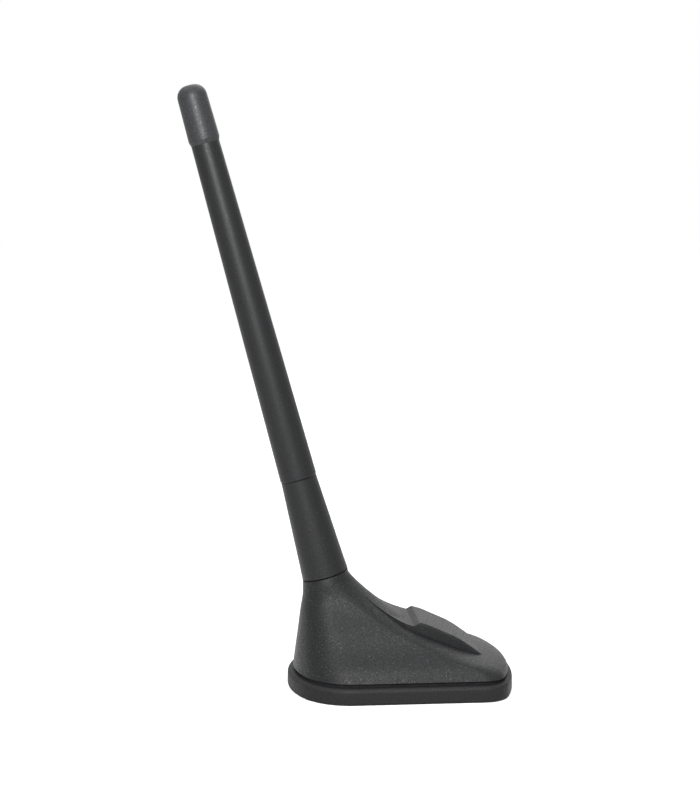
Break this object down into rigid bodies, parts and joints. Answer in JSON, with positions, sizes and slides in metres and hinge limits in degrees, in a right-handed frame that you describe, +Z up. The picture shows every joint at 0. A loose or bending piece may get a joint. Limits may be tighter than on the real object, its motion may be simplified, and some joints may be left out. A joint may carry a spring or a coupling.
{
  "type": "vehicle multiband antenna",
  "caption": "Black vehicle roof antenna with a raked screw-on mast, a moulded base with a raised satellite hump and a rubber roof seal.",
  "frame": {"origin": "centre of the roof screw bush on the underside of the rubber seal", "axes": "+Z up from the roof, +X towards the front of the vehicle; the mast leans back towards -X"},
  "size_m": [0.1253, 0.06, 0.227],
  "materials": {
    "moulded_plastic": "fine grained matt",
    "mast_plastic": "satin",
    "seal_rubber": "matt",
    "zinc": "as cast, black coated",
    "brass": "turned",
    "tinplate": "bright",
    "ceramic": "matt",
    "silver": "satin",
    "board": "satin",
    "steel": "plated",
    "copper": "lacquered",
    "glass_fibre": "satin",
    "spacer_plastic": "matt"
  },
  "bodies": {
    "base": {"roof_seal": "seal_rubber", "base_plate": "zinc", "roof_bush": "brass", "circuit_board": "board", "screening_can": "tinplate", "patch_aerial": "ceramic", "patch_metal": "silver", "coax_socket_left": "brass", "coax_socket_right": "brass", "mast_socket": "brass", "feed_post": "brass", "cover": "moulded_plastic", "cover_screw_rear_left": "steel", "board_screw_rear_left": "steel", "cover_screw_rear_right": "steel", "board_screw_rear_right": "steel", "cover_screw_front_left": "steel", "board_screw_front_left": "steel", "cover_screw_front_right": "steel", "board_screw_front_right": "steel"},
    "foot_ring_body": {"foot_ring": "seal_rubber"},
    "mast": {"screw_ferrule": "brass", "foot_sleeve": "mast_plastic", "mast_tube": "mast_plastic", "tip_cap": "mast_plastic", "core_rod": "glass_fibre", "radio_winding": "copper", "telephone_winding": "copper", "lower_spacer": "spacer_plastic", "upper_spacer": "spacer_plastic"}
  },
  "joints": [
    {"name": "mast_lift", "type": "slide", "parent": "base", "child": "foot_ring_body", "axis": [-0.2605, 0, 0.9655], "range_m": [0, 0.0065]},
    {"name": "mast_turn", "type": "hinge", "parent": "foot_ring_body", "child": "mast", "pos_m": [-0.0285, 0, 0.0431], "axis": [-0.2605, 0, 0.9655], "range_deg": [0, 2340]}
  ],
  "couplings": [
    {"joint": "mast_turn", "follows": "mast_lift", "rad_per_m": 6283.2}
  ]
}
